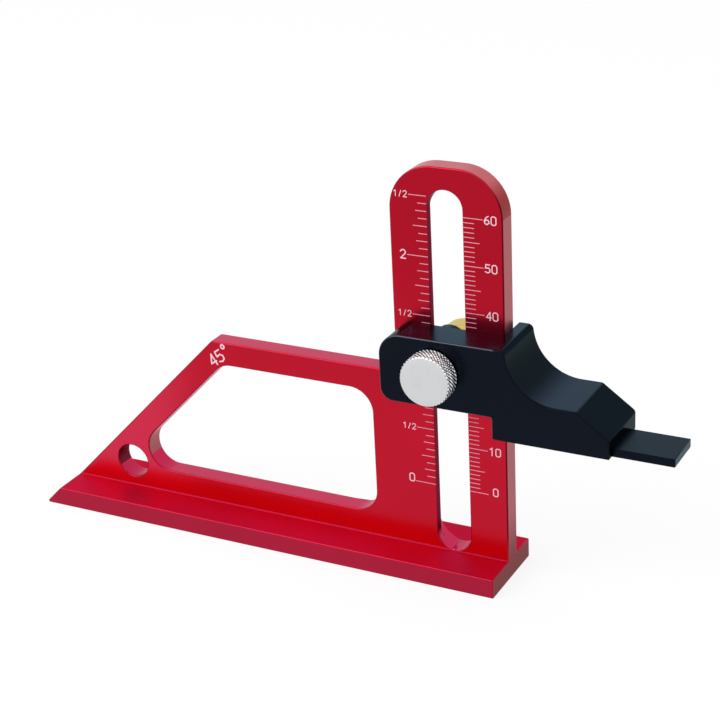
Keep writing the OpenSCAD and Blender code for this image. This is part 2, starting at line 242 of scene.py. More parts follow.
@dataclass(frozen=True)
class Anodised(Finish):
    """Etched, dyed and sealed aluminium.

    The dyed colour drifts by a few percent over drift_mm, and painted light and shade may blend
    it to a second colour towards the piece's top; fine etch grain breaks the gloss, and shallow
    tool lines run one way.
    The edge tint colours what the surface mirrors at a grazing angle.
    """

    edge_tint: Triple = WHITE
    lay: Lay = Lay.ALONG_X
    drift: float = 0.06
    drift_mm: float = 22.0
    grain_mm: float = 0.16
    grain_um: float = 1.2
    grain_gloss: float = 0.08
    lines_mm: float = 0.11
    lines_um: float = 0.8
    lines_gloss: float = 0.03
    # Second colour that the dyed colour blends to with height over the next span: painted light
    # and shade on the piece's top part.
    painted_upper: Triple | None = None
    painted_upper_mm: Span = (30.0, 75.0)

    def dye_and_painted_light(self, graph: Graph, point: Value) -> Value:
        """Colour of the dyed surface with painted light: it blends with height to a second
        colour, painted light and shade on the piece's top part, then drifts.

        Args:
            graph: the material's graph.
            point: the point's own place.

        Returns:
            The colour.
        """
        height = graph.part(point, "Z").between(*(z * MM for z in self.painted_upper_mm))
        plain = graph.blend(height, rgba(self.colour), rgba(self.painted_upper or self.colour))
        cloud = graph.noise(point, self.drift_mm, 3.0).between(0.3, 0.7)
        return graph.blend(cloud * self.drift, plain, rgba(BLACK))

    def paint(self, graph: Graph) -> Value:
        """Dye and painted light and shade feed the colour; grain and tool lines feed roughness
        and relief.

        Args:
            graph: the material's graph.

        Returns:
            The shader.
        """
        point = graph.place()
        grain = graph.noise(point, self.grain_mm)
        across = tuple(1.0 / s for s in self.lay.value)
        lines = graph.noise(graph.stretched(point, across), self.lines_mm, 1.0)
        gloss = self.grain_gloss * (grain - 0.5) + self.lines_gloss * (lines - 0.5)
        return graph.add("ShaderNodeBsdfPrincipled", None, {
            "Base Color": self.dye_and_painted_light(graph, point),
            "Metallic": 1.0,
            "Roughness": self.roughness + gloss,
            "Specular Tint": rgba(self.edge_tint),
            "Normal": graph.bump(grain * self.grain_um + lines * self.lines_um, 1.0),
        })


@dataclass(frozen=True)
class PaintedLightAlongX(Anodised):
    """Anodising whose colour blends along X to a second colour: a painted highlight in some looks
    and a painted shade in others.
    """

    painted_light: Triple = (0.1, 0.1, 0.1)
    painted_light_mm: Span = (0.0, 1.0)
    above_mm: float = -10.0
    fade_mm: float = 6.0

    def dye_and_painted_light(self, graph: Graph, point: Value) -> Value:
        """The dyed colour with painted light: it blends to the second colour from the first X of
        the X span to the second, and only over above_mm.

        Args:
            graph: the material's graph.
            point: the point's own place.

        Returns:
            The colour.
        """
        along = graph.part(point, "X").between(*(x * MM for x in self.painted_light_mm))
        height = graph.part(point, "Z").between(self.above_mm * MM,
                                                (self.above_mm + self.fade_mm) * MM)
        return graph.blend(along * height, super().dye_and_painted_light(graph, point), rgba(self.painted_light))


@dataclass(frozen=True)
class Turned(Finish):
    """Bright metal from a lathe, with fine rings about the clamp's axis."""

    axis_z: float = 0.0
    ring_mm: float = 0.12
    ring_um: float = 0.5
    ring_gloss: float = 0.05
    wander_mm: float = 0.5
    wander_rad: float = 5.0
    stain: Triple = (0.5, 0.5, 0.5)
    stain_mm: float = 3.0
    stain_share: float = 0.15
    stain_gloss: float = 0.06

    def spots(self, graph: Graph, point: Value) -> Value:
        """Where the stains are, from 0 to 1."""
        return graph.noise(point, self.stain_mm, 4.0).between(0.45, 0.75)

    def metal(self, graph: Graph, point: Value) -> Value:
        """Colour of the metal, dulled by stains."""
        return graph.blend(self.spots(graph, point) * self.stain_share, rgba(self.colour),
                           rgba(self.stain))

    def paint(self, graph: Graph) -> Value:
        """Rings are 0.5 + 0.5 sin(2 pi distance / ring width + wander).

        The distance is the one from the axis. The rings feed roughness and relief, and
        stains dull colour and gloss in spots.

        Args:
            graph: the material's graph.

        Returns:
            The shader.
        """
        point = graph.place()
        out = graph.add("ShaderNodeVectorMath", {"operation": "SUBTRACT"},
                        {0: point, 1: (0.0, 0.0, self.axis_z)})
        distance = graph.add("ShaderNodeVectorMath", {"operation": "LENGTH"},
                             {0: graph.stretched(out, (1.0, 0.0, 1.0))}, "Value")
        wander = graph.noise(point, self.wander_mm)
        turns = distance * (2 * math.pi / (self.ring_mm * MM)) + wander * self.wander_rad
        rings = turns.sine() * 0.5 + 0.5
        return graph.add("ShaderNodeBsdfPrincipled", None, {
            "Base Color": self.metal(graph, point),
            "Metallic": 1.0,
            "Roughness": (self.roughness + self.ring_gloss * (rings - 0.5)
                          + self.stain_gloss * self.spots(graph, point)),
            "Normal": graph.bump(rings * 0.6 + wander * 0.4, self.ring_um),
        })


@dataclass(frozen=True)
class Knurled(Turned):
    """Turned metal with a painted shade in its rolled grooves and a painted highlight down its
    ridges' flanks.
    """

    # The first two fields paint shade, near black, into the grooves; the next two paint a
    # highlight, near white, down the flanks.
    groove_shade: Triple = (0.02, 0.02, 0.022)
    groove_shade_span: Span = (0.68, 0.82)
    ridge: Triple = (0.95, 0.95, 0.96)
    highlight_span: Span = (0.05, 0.35)
    smear: float = 0.6
    smear_mm: float = 0.6

    def metal(self, graph: Graph, point: Value) -> Value:
        """The turned metal at the tips, with a painted highlight down the flanks and a painted
        shade in the grooves.

        Args:
            graph: the material's graph.
            point: the point's own place.

        Returns:
            The colour, by the mesh's attribute groove, which is 0 on the ridges.
        """
        groove = graph.add("ShaderNodeAttribute", {"attribute_name": "groove"}, None, "Fac")
        smeared = groove + self.smear * (graph.noise(point, self.smear_mm, 3.0) - 0.5)
        # Painted highlight down the flanks, then painted shade in the grooves.
        with_highlight = graph.blend(groove.between(*self.highlight_span), super().metal(graph, point),
                            rgba(self.ridge))
        return graph.blend(smeared.between(*self.groove_shade_span), with_highlight, rgba(self.groove_shade))


@dataclass(frozen=True)
class Moulded(Finish):
    """Plain plastic or ink with a fine matt skin and faint mottling."""

    mottle: float = 0.05
    mottle_mm: float = 1.5
    skin_um: float = 2.0
    skin_gloss: float = 0.1
    grain_mm: float = 0.1

    def paint(self, graph: Graph) -> Value:
        """Grain feeds colour, roughness and relief.

        Args:
            graph: the material's graph.

        Returns:
            The shader.
        """
        point = graph.place()
        grain = graph.noise(point, self.grain_mm, 3.0)
        cloud = graph.noise(point, self.mottle_mm)
        dim = tuple(c * (1.0 - self.mottle) for c in self.colour)
        return graph.add("ShaderNodeBsdfPrincipled", None, {
            "Base Color": graph.blend((grain * 0.5 + cloud * 0.5).between(0.35, 0.65),
                                      rgba(dim), rgba(self.colour)),
            "Roughness": self.roughness + self.skin_gloss * (grain - 0.5),
            "Normal": graph.bump(grain, self.skin_um),
        })


# Surfaces


def circle(columns: int) -> np.ndarray:
    """Angles that part a turn evenly into columns, from 0."""
    return np.arange(columns) * 2 * np.pi / columns


def quads(rows: int, cols: int) -> np.ndarray:
    """Faces of a grid of points, numbered row by row, whose rows close on themselves.

    Args:
        rows: how many rows of points the grid has.
        cols: how many points each row has.

    Returns:
        An array of faces with four point numbers each, in order a, b, b + cols, a + cols.
    """
    row = np.arange(rows - 1)[:, None] * cols
    col = np.arange(cols)[None, :]
    a, b = row + col, row + (col + 1) % cols
    return np.stack([a, b, b + cols, a + cols], -1).reshape(-1, 4)


def closed(mesh: bpy.types.Mesh) -> bpy.types.Mesh:
    """Merges the mesh's doubles, drops what that flattens and turns its faces outwards.

    Args:
        mesh: a mesh that closes but for doubles; it is changed.

    Returns:
        The same mesh.
    """
    solid = bmesh.new()
    solid.from_mesh(mesh)
    bmesh.ops.remove_doubles(solid, verts=solid.verts, dist=NEW_SEAM)
    bmesh.ops.dissolve_degenerate(solid, edges=solid.edges, dist=NEW_SEAM)
    bmesh.ops.recalc_face_normals(solid, faces=solid.faces)
    solid.to_mesh(mesh)
    solid.free()
    return mesh


def turned_surface(name: str, angles: np.ndarray, radius: np.ndarray, depth: np.ndarray,
                   axis_z: float, groove: np.ndarray | None = None) -> bpy.types.Mesh:
    """Closed surface round the clamp's axis.

    Point (i, j) lies at x = radius[i, j] cos(angle[j]), z = axis_z + radius[i, j]
    sin(angle[j]) and y = depth[i, j]. A first and last row of radius 0 become poles;
    otherwise the last row joins the first, as on a ring.

    Args:
        name: name of the mesh.
        angles: angle of each column, rising.
        radius: radius of each point, rows by columns.
        depth: Y of each point, rows by columns.
        axis_z: height of the clamp's axis.
        groove: share of each point's depth in a groove, kept in the attribute groove.

    Returns:
        The mesh, with its doubles merged and its normals outwards.
    """
    radius, depth = np.broadcast_arrays(radius, depth, angles)[:2]
    points = np.stack([radius * np.cos(angles), depth,
                       axis_z + radius * np.sin(angles)], -1)
    rows, cols = radius.shape
    faces = quads(rows, cols)
    if radius[0].max() > 0:
        first = np.arange(cols)
        last = (rows - 1) * cols + first
        faces = np.concatenate([faces, np.stack(
            [last, np.roll(last, -1), np.roll(first, -1), first], -1)])
    mesh = bpy.data.meshes.new(name)
    mesh.from_pydata(points.reshape(-1, 3).tolist(), [], faces.tolist())
    if groove is not None:
        layer = mesh.attributes.new("groove", "FLOAT", "POINT")
        layer.data.foreach_set("value", groove.astype(np.float32).ravel())
    return closed(mesh)


def merged_copy(node: str, name: str) -> bpy.types.Mesh:
    """A copy of a CAD node's mesh, merged, with its flat faces whole again.

    Args:
        node: name of the CAD node.
        name: name of the new mesh.

    Returns:
        The new mesh, without materials.
    """
    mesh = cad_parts[node].data.copy()
    mesh.name = name
    mesh.materials.clear()
    solid = bmesh.new()
    solid.from_mesh(mesh)
    bmesh.ops.remove_doubles(solid, verts=solid.verts, dist=CAD_SEAM)
    bmesh.ops.dissolve_limit(solid, angle_limit=math.radians(FLAT_DEG), verts=solid.verts,
                             edges=solid.edges, use_dissolve_boundaries=False)
    solid.to_mesh(mesh)
    solid.free()
    return mesh


def read(items: Any, name: str, width: int, kind: type) -> np.ndarray:
    """One property of all of a mesh's points, edges, corners or faces.

    Args:
        items: the mesh's collection of them.
        name: name of the property.
        width: how many numbers the property has.
        kind: type of the numbers.

    Returns:
        The numbers, one row for each item.
    """
    data = np.empty(len(items) * width, kind)
    items.foreach_get(name, data)
    return data.reshape(-1, width)


def face_data(mesh: bpy.types.Mesh) -> tuple[np.ndarray, np.ndarray]:
    """Normal of each face, and the middle of each face in mm."""
    return (read(mesh.polygons, "normal", 3, np.float32),
            read(mesh.polygons, "center", 3, np.float32) / MM)


def edge_data(mesh: bpy.types.Mesh) -> tuple[np.ndarray, np.ndarray]:
    """How far the surface turns at each edge, and where each edge is.

    Where an edge joins two faces with unit normals p and q, the squared length of p + q
    is 2 + 2 cos(turn). An edge that doesn't have two faces counts as flat.

    Args:
        mesh: any mesh.

    Returns:
        The turn at each edge in radians, and the middle of each edge in mm.
    """
    points = read(mesh.vertices, "co", 3, np.float32).astype(np.float64)
    middle = points[read(mesh.edges, "vertices", 2, np.int32)].mean(axis=1) / MM
    edge = read(mesh.loops, "edge_index", 1, np.int32)[:, 0]
    corners = read(mesh.polygons, "loop_total", 1, np.int32)[:, 0]
    total = np.zeros((len(mesh.edges), 3))
    np.add.at(total, edge, np.repeat(face_data(mesh)[0], corners, axis=0))
    turn = np.arccos(np.clip((total ** 2).sum(axis=1) / 2 - 1, -1.0, 1.0))
    paired = np.bincount(edge, minlength=len(total)) == 2
    return np.where(paired, turn, 0.0), middle


def new_piece(name: str, mesh: bpy.types.Mesh) -> bpy.types.Object:
    """An object for the mesh, at the origin, smooth but for edges over SMOOTH_DEG.

    Args:
        name: name of the object.
        mesh: its mesh.

    Returns:
        The object, linked to the scene.
    """
    mesh.polygons.foreach_set("use_smooth", np.ones(len(mesh.polygons), bool))
    mesh.set_sharp_from_angle(angle=math.radians(SMOOTH_DEG))
    piece = bpy.data.objects.new(name, mesh)
    bpy.context.scene.collection.objects.link(piece)
    return piece


def soften(piece: bpy.types.Object, radius_mm: float,
           skip: Callable[[np.ndarray], np.ndarray], edge_material: int = -1) -> None:
    """Rounds the piece's sharp edges and keeps its flat faces flat in the shading.

    An edge is sharp where the surface turns by more than SHARP_DEG.

    Args:
        piece: a merged piece.
        radius_mm: width of the round.
        skip: tells from an array of edge middles, in mm, which edges stay sharp.
        edge_material: material slot of the rounds, or -1 for that of their faces.
    """
    turn, middle = edge_data(piece.data)
    weight = ((turn > math.radians(SHARP_DEG)) & ~skip(middle)).astype(np.float32)
    layer = piece.data.attributes.new("bevel_weight_edge", "FLOAT", "EDGE")
    layer.data.foreach_set("value", weight)
    bevel = piece.modifiers.new("round", "BEVEL")
    bevel.limit_method = "WEIGHT"
    bevel.width = radius_mm * MM
    bevel.segments = 3
    bevel.use_clamp_overlap = False
    bevel.material = edge_material
    bevel.miter_outer = "MITER_ARC"
    flats = piece.modifiers.new("flats", "WEIGHTED_NORMAL")
    flats.mode = "FACE_AREA"
    flats.weight = 90
    flats.keep_sharp = True


# Seats in the frame


def node_box(node: str) -> tuple[np.ndarray, np.ndarray]:
    """A node's lowest and highest corners at rest, in metres."""
    low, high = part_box(node)
    return np.array(low), np.array(high)


def node_radius(node: str) -> float:
    """Half of a node's extent along X: the radius of a round piece of the clamp."""
    low, high = node_box(node)
    return float(high[0] - low[0]) / 2


def clamp_axis() -> np.ndarray:
    """The middle of the clamp's head, in metres."""
    return sum(node_box("knob_head")) / 2


def settle(piece: bpy.types.Object, body: str, node: str) -> None:
    """Rides the piece on its body and hides the node it stands for.

    Args:
        piece: the new piece.
        body: name of the body that carries it.
        node: name of the CAD node.
    """
    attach(piece, body)
    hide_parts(node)
    LOG.info("%s rides on %s, %d faces", piece.name, body, len(piece.data.polygons))


def dress(node: str, finish: Finish, name: str) -> None:
    """Gives a CAD node that stays as it is a better material.

    Args:
        node: name of the CAD node.
        finish: its finish.
        name: name of the look.
    """
    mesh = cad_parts[node].data
    mesh.materials.clear()
    mesh.materials.append(finish.material(name))
    LOG.info("%s keeps its shape and gets %s", node, name)


# The gauge's own pieces


class RedFace(Enum):
    """Faces of the body, partly by how they were made and partly by the painted light and shade
    that their looks carry; the value is the material's place.
    """

    DRAWN = 0
    MILLED = 1
    SAWN = 2
    FOOT_TOP = 3
    POCKET = 4
    EDGE = 5
    CROWN = 6
    ROOT = 7
    FOOT_FACE = 8


@dataclass
class Body:
    """The machined extrusion: foot, web with window, and slotted column.

    The slot's faces lie within slot_reach_mm of its centre line and under slot_top_mm,
    the hanging hole's within hole_reach_mm of its axis. Rounds of the column's top start
    at crown_mm. lip_mm is the reach in X, and in Z over the foot, of the slot's thin end.
    """

    edge_mm: float = 0.25
    foot_top_mm: float = 4.4
    root_mm: float = 0.6
    slack_mm: float = 0.1
    slot_reach_mm: float = 5.25
    slot_top_mm: float = 86.0
    floors_under_mm: float = 39.5
    hole_mm: Span = (-81.15, 10.5)
    hole_reach_mm: float = 4.05
    crown_mm: float = 79.0
    lip_mm: Span = (5.6, 1.2)
    slot: str = "anodised_red"

    def looks(self) -> dict[RedFace, Anodised]:
        """The look of each kind of face; all but the foot top's paint light and shade into the
        red.
        """
        return {
            # The drawn red darkens with height from 30 to 75 mm, painted shade on the column
            # against the brighter web, and pales from X -58 to -76 mm above 4 mm: a painted
            # highlight on the web's left end.
            RedFace.DRAWN: PaintedLightAlongX(
                self.slot, (0.525, 0.0114, 0.030), 0.25, painted_upper=(0.425, 0.0080, 0.0215),
                painted_light=(0.62, 0.029, 0.072), painted_light_mm=(-58.0, -76.0), above_mm=4.0),
            # A paler, bluer red than the drawn one: a painted whitish sheen on the cut faces;
            # kinds() also gives it to the upward floors of slot and hole as their painted light.
            RedFace.MILLED: Anodised(self.slot, (0.56, 0.020, 0.085), 0.36, lay=Lay.ALONG_Y),
            # The end faces are a dark red near the foot that pales from 3 to 17 mm up to a
            # whitish pink: painted shade low down and a painted whitish sheen above.
            RedFace.SAWN: Anodised(
                self.slot, (0.17, 0.013, 0.016), 0.34, lay=Lay.ALONG_Y,
                edge_tint=(0.90, 0.79, 0.79), painted_upper=(0.40, 0.115, 0.125), painted_upper_mm=(3.0, 17.0)),
            RedFace.FOOT_TOP: Anodised(self.slot, (0.57, 0.006, 0.040), 0.60,
                                       edge_tint=(1.0, 0.62, 0.78)),
            # Dark red on the walls of the slot and the hanging hole: painted shade in the
            # recesses.
            RedFace.POCKET: Anodised(self.slot, (0.17, 0.015, 0.028), 0.40, lay=Lay.ALONG_Y,
                                     edge_tint=(0.7, 0.5, 0.55)),
            # The rounds are a darker red than the faces, a painted shade that tones down their
            # highlights, and darker still from X 9.5 to 12 mm above 6 mm: painted shade on the
            # column's right-hand edges.
            RedFace.EDGE: PaintedLightAlongX(self.slot, (0.38, 0.012, 0.035), 0.30,
                               painted_light=(0.14, 0.002, 0.012), painted_light_mm=(9.5, 12.0), above_mm=6.0),
            # The column's top rounds are a pale pink, a painted whitish sheen, that darkens from
            # X 8.5 to 12.3 mm: painted shade on their right-hand side.
            RedFace.CROWN: PaintedLightAlongX(self.slot, (0.54, 0.11, 0.13), 0.36, lay=Lay.ALONG_Y,
                                painted_light=(0.27, 0.004, 0.008), painted_light_mm=(8.5, 12.3)),
            # Dark red on the round where web meets foot: painted shade in the crease.
            RedFace.ROOT: Anodised(self.slot, (0.24, 0.006, 0.022), 0.34),
            # A darker, bluer copy of the drawn red: painted shade on the foot's front and back
            # faces.
            RedFace.FOOT_FACE: Anodised(self.slot, (0.415, 0.0155, 0.045), 0.30),
        }

    def build(self) -> None:
        """Copies the node, rounds its edges and gives each kind of face its look."""
        looks = self.looks()
        piece = new_piece("gauge_body_rounded", merged_copy("gauge_body", "gauge_body_rounded"))
        for kind in RedFace:
            piece.data.materials.append(looks[kind].material("red_" + kind.name.lower()))
        piece.data.polygons.foreach_set("material_index", self.kinds(*face_data(piece.data)))
        soften(piece, self.edge_mm, self.near_slot_floor, edge_material=RedFace.EDGE.value)
        settle(piece, "gauge", "gauge_body")

    def kinds(self, normal: np.ndarray, middle: np.ndarray) -> np.ndarray:
        """Kind of each face; where kinds overlap, the later one holds.

        Bounds on a normal's parts are cosines: cut faces run through the thickness, and
        up tells how far a face looks upwards.

        Args:
            normal: normal of each face.
            middle: middle of each face in mm.

        Returns:
            The value of each face's RedFace.
        """
        x, z, foot = middle[:, 0], middle[:, 2], self.foot_top_mm
        cut, up = np.abs(normal[:, 1]) < 0.5, normal[:, 2]
        slot = (cut & (np.abs(x) < self.slot_reach_mm) & (z > foot + self.slack_mm)
                & (z < self.slot_top_mm))
        hole = cut & (np.hypot(x - self.hole_mm[0], z - self.hole_mm[1]) < self.hole_reach_mm)
        # Upward floors of the slot and the hole get the paler milled look: painted light on them,
        # against the painted shade of the pocket walls.
        floor = (slot | hole) & (up > np.where(slot, 0.05, 0.45)) & (z < self.floors_under_mm)
        kind = np.where(cut, RedFace.MILLED.value, RedFace.DRAWN.value)
        # Every kind set below but the foot top carries painted light and shade in its look.
        for where, face in (
                (cut & (np.abs(normal[:, 0]) > 0.9), RedFace.SAWN),
                (slot | hole, RedFace.POCKET),
                (~cut & (z < foot + self.root_mm) & (up > 0.2) & (up < 0.97), RedFace.ROOT),
                ((up > 0.9) & (z < foot + 1.0) & (z > foot - self.slack_mm), RedFace.FOOT_TOP),
                (floor, RedFace.MILLED),
                (cut & (z > self.crown_mm) & (up > 0.05), RedFace.CROWN),
                (~cut & (z < foot) & (up < 0.2), RedFace.FOOT_FACE)):
            kind = np.where(where, face.value, kind)
        return kind.astype(np.int32)

    def near_slot_floor(self, middle: np.ndarray) -> np.ndarray:
        """Edges at the slot's lower end, where a thin lip leaves no room for a round."""
        reach, height = self.lip_mm
        return (np.abs(middle[:, 0]) < reach) & (middle[:, 2] < self.foot_top_mm + height)


@dataclass
class Scales:
    """Printed lines and numerals on the column, and the angle mark on the web."""

    ink: Moulded = Moulded("white_print", (0.68, 0.27, 0.36), 0.5, grain_mm=0.06, skin_um=1.0)
    bold_ink: Moulded = Moulded("white_print", (0.72, 0.50, 0.57), 0.5, grain_mm=0.06,
                                skin_um=1.0)

    def build(self) -> None:
        """Lines get the thin ink, numerals and the angle mark the thicker one."""
        for node in ("mm_graduations", "inch_graduations"):
            dress(node, self.ink, "print_lines")
        for node in ("mm_numerals", "inch_numerals", "angle_mark"):
            dress(node, self.bold_ink, "print_numerals")


class BlackFace(Enum):
    """Faces of the slider's block; the value is the material's place."""

    DRAWN = 0
    EDGE = 1
    MILLED = 2
    REST = 3


@dataclass
class Slider:
    """The black block with its thumb rest, and the tongue in its underside.

    The thumb rest lies between the two X of rest_mm and rest_under_mm or more under the
    block's top. column_mm is the X of the column's right side and the Y behind which
    the block touches the column. The groove's edges lie groove_side_mm beside the tongue
    and up to groove_over_mm over it, the bore's within bore_mm of the clamp's axis.
    """

    edge_mm: float = 0.25
    tongue_edge_mm: float = 0.12
    tongue_end_mm: float = 0.5
    rest_mm: Span = (13.0, 30.1)
    rest_under_mm: float = 1.2
    slack_mm: float = 0.05
    column_mm: Span = (12.6, -1.0)
    groove_side_mm: float = 0.3
    groove_over_mm: float = 1.6
    bore_mm: float = 2.6
    slot: str = "anodised_black"
    oxide: Anodised = Anodised("blackened_steel", (0.0066, 0.0098, 0.0153), 0.32,
                               edge_tint=(0.715, 0.83, 0.91), lines_um=1.4)
    screw: Turned = Turned("screw_steel", (0.55, 0.56, 0.58), 0.3)

    def looks(self) -> dict[BlackFace, Anodised]:
        """The look of each kind of face of the block."""
        return {
            BlackFace.DRAWN: Anodised(self.slot, (0.0076, 0.0105, 0.0175), 0.26, drift=0.1,
                                      edge_tint=(0.72, 0.87, 1.0)),
            # The rounds are a grey far paler than the black faces: a painted highlight along the
            # edges. From X 12.6 to 13.4 mm they go back to near black, so the painted highlight
            # stays in front of the column.
            BlackFace.EDGE: PaintedLightAlongX(self.slot, (0.052, 0.055, 0.070), 0.26, drift=0.15,
                                 edge_tint=(0.80, 0.96, 1.0),
                                 painted_light=(0.005, 0.007, 0.011), painted_light_mm=(12.6, 13.4)),
            BlackFace.MILLED: Anodised(self.slot, (0.0065, 0.0095, 0.015), 0.24, drift=0.1,
                                       edge_tint=(0.53, 0.57, 0.58)),
            # The thumb rest pales from X 19 to 25 mm: a painted highlight on the scoop.
            BlackFace.REST: PaintedLightAlongX(self.slot, (0.0065, 0.0095, 0.015), 0.24, drift=0.1,
                                 edge_tint=(0.57, 0.61, 0.60),
                                 painted_light=(0.031, 0.044, 0.073), painted_light_mm=(19.0, 25.0)),
        }

    def build(self) -> None:
        """Copies block and tongue with rounded edges and dresses the hidden screws."""
        looks = self.looks()
        block = new_piece("slider_block_rounded",
                          merged_copy("slider_block", "slider_block_rounded"))
        for kind in BlackFace:
            block.data.materials.append(looks[kind].material("black_" + kind.name.lower()))
        block.data.polygons.foreach_set("material_index", self.kinds(*face_data(block.data)))
        soften(block, self.edge_mm, self.near_key, edge_material=BlackFace.EDGE.value)
        settle(block, "slider", "slider_block")
        tongue = new_piece("reading_tongue_rounded",
                           merged_copy("reading_tongue", "reading_tongue_rounded"))
        tongue.data.materials.append(self.oxide.material("black_oxide"))
        soften(tongue, self.tongue_edge_mm, self.near_screws)
        settle(tongue, "slider", "reading_tongue")
        dress("tongue_screws", self.screw, "screw_steel")

    def kinds(self, normal: np.ndarray, middle: np.ndarray) -> np.ndarray:
        """Kind of each face: cut faces are milled, but the top and the thumb rest differ.

        Args:
            normal: normal of each face.
            middle: middle of each face in mm.

        Returns:
            The value of each face's BlackFace.
        """
        x, z = middle[:, 0], middle[:, 2]
        top = node_box("slider_block")[1][2] / MM
        cut = (np.abs(normal[:, 1]) < 0.5) & (z < top - self.slack_mm)
        rest = (cut & (normal[:, 2] > 0.05) & (z < top - self.rest_under_mm)
                & (x > self.rest_mm[0]) & (x < self.rest_mm[1]))
        kind = np.where(cut, BlackFace.MILLED.value, BlackFace.DRAWN.value)
        return np.where(rest, BlackFace.REST.value, kind).astype(np.int32)

    def near_key(self, middle: np.ndarray) -> np.ndarray:
        """Edges that meet the column, the tongue's groove or the clamp's bore.

        Args:
            middle: middle of each edge in mm.

        Returns:
            Whether each edge is one of them.
        """
        x, y, z = middle.T
        low, high = (corner / MM for corner in node_box("reading_tongue"))
        axis = clamp_axis() / MM
        column = (x < self.column_mm[0]) & (y > self.column_mm[1])
        groove = ((z < high[2] + self.groove_over_mm) & (y > low[1] - self.groove_side_mm)
                  & (y < high[1] + self.groove_side_mm))
        bore = np.hypot(x - axis[0], z - axis[2]) < self.bore_mm
        return column | groove | bore

    def near_screws(self, middle: np.ndarray) -> np.ndarray:
        """Edges of the tongue's screw holes and of its end inside the groove."""
        return middle[:, 0] < node_box("slider_block")[1][0] / MM - self.tongue_end_mm


